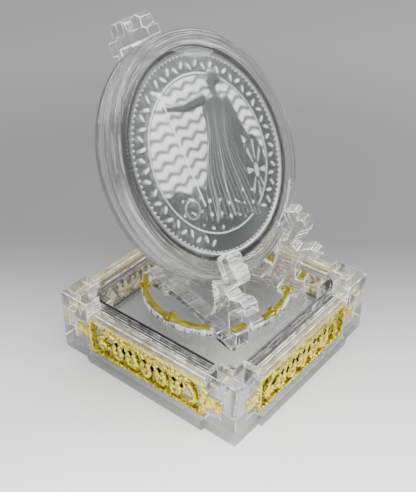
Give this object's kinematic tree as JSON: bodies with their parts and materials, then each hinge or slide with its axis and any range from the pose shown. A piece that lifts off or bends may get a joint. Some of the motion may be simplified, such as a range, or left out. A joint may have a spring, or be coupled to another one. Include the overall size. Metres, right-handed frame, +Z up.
{
  "type": "coin capsule",
  "caption": "Round clear two-piece capsule holding a silver coin, leaning back on a square clear tray stand with gold knotwork sides.",
  "frame": {"origin": "centre of the flat underside of the tray", "axes": "+Z up; the coin faces -Y and leans back towards +Y; +X is the viewer's right when facing the coin"},
  "size_m": [0.045, 0.047, 0.0639],
  "materials": {
    "clear_acrylic": "clear laser-cut acrylic with polished faces and ribbed cut edges",
    "gold_mirror": "gold mirror-faced acrylic",
    "capsule_plastic": "clear moulded plastic, polished",
    "coin_silver": "struck silver, satin fields with a bright rim"
  },
  "bodies": {
    "stand": {"base_plate": "clear_acrylic", "post_front_left": "clear_acrylic", "post_front_right": "clear_acrylic", "post_back_left": "clear_acrylic", "post_back_right": "clear_acrylic", "wall_front": "clear_acrylic", "wall_right": "clear_acrylic", "wall_back": "clear_acrylic", "wall_left": "clear_acrylic", "rail_front": "clear_acrylic", "rail_right": "clear_acrylic", "rail_back": "clear_acrylic", "rail_left": "clear_acrylic", "knot_panel_front": "gold_mirror", "knot_panel_right": "gold_mirror", "knot_panel_back": "gold_mirror", "knot_panel_left": "gold_mirror", "deck": "clear_acrylic", "ring_base_left": "clear_acrylic", "ring_base_front": "clear_acrylic", "ring_base_right": "clear_acrylic", "gold_arc_left": "gold_mirror", "gold_arc_front": "gold_mirror", "gold_arc_right": "gold_mirror", "hook_left": "clear_acrylic", "hook_right": "clear_acrylic", "hook_cap_left": "gold_mirror", "hook_cap_right": "gold_mirror", "spine": "clear_acrylic"},
    "clip": {"top_clip": "clear_acrylic"},
    "capsule": {"capsule_back": "capsule_plastic"},
    "lid": {"capsule_lid": "capsule_plastic"},
    "coin": {"coin": "coin_silver"}
  },
  "joints": [
    {"name": "capsule_lift", "type": "slide", "parent": "stand", "child": "capsule", "axis": [0, 0.4924, 0.8704], "range_m": [0, 0.06]},
    {"name": "clip_lift", "type": "slide", "parent": "stand", "child": "clip", "axis": [0, 0.4924, 0.8704], "range_m": [0, 0.072]},
    {"name": "lid_open", "type": "slide", "parent": "capsule", "child": "lid", "axis": [0, -0.8704, 0.4924], "range_m": [0, 0.006]},
    {"name": "coin_out", "type": "slide", "parent": "capsule", "child": "coin", "axis": [0, -0.8704, 0.4924], "range_m": [0, 0.003]}
  ],
  "couplings": [
    {"joint": "clip_lift", "follows": "capsule_lift", "ratio": 1.2},
    {"joint": "lid_open", "follows": "capsule_lift", "ratio": 0.1},
    {"joint": "coin_out", "follows": "capsule_lift", "ratio": 0.05}
  ]
}
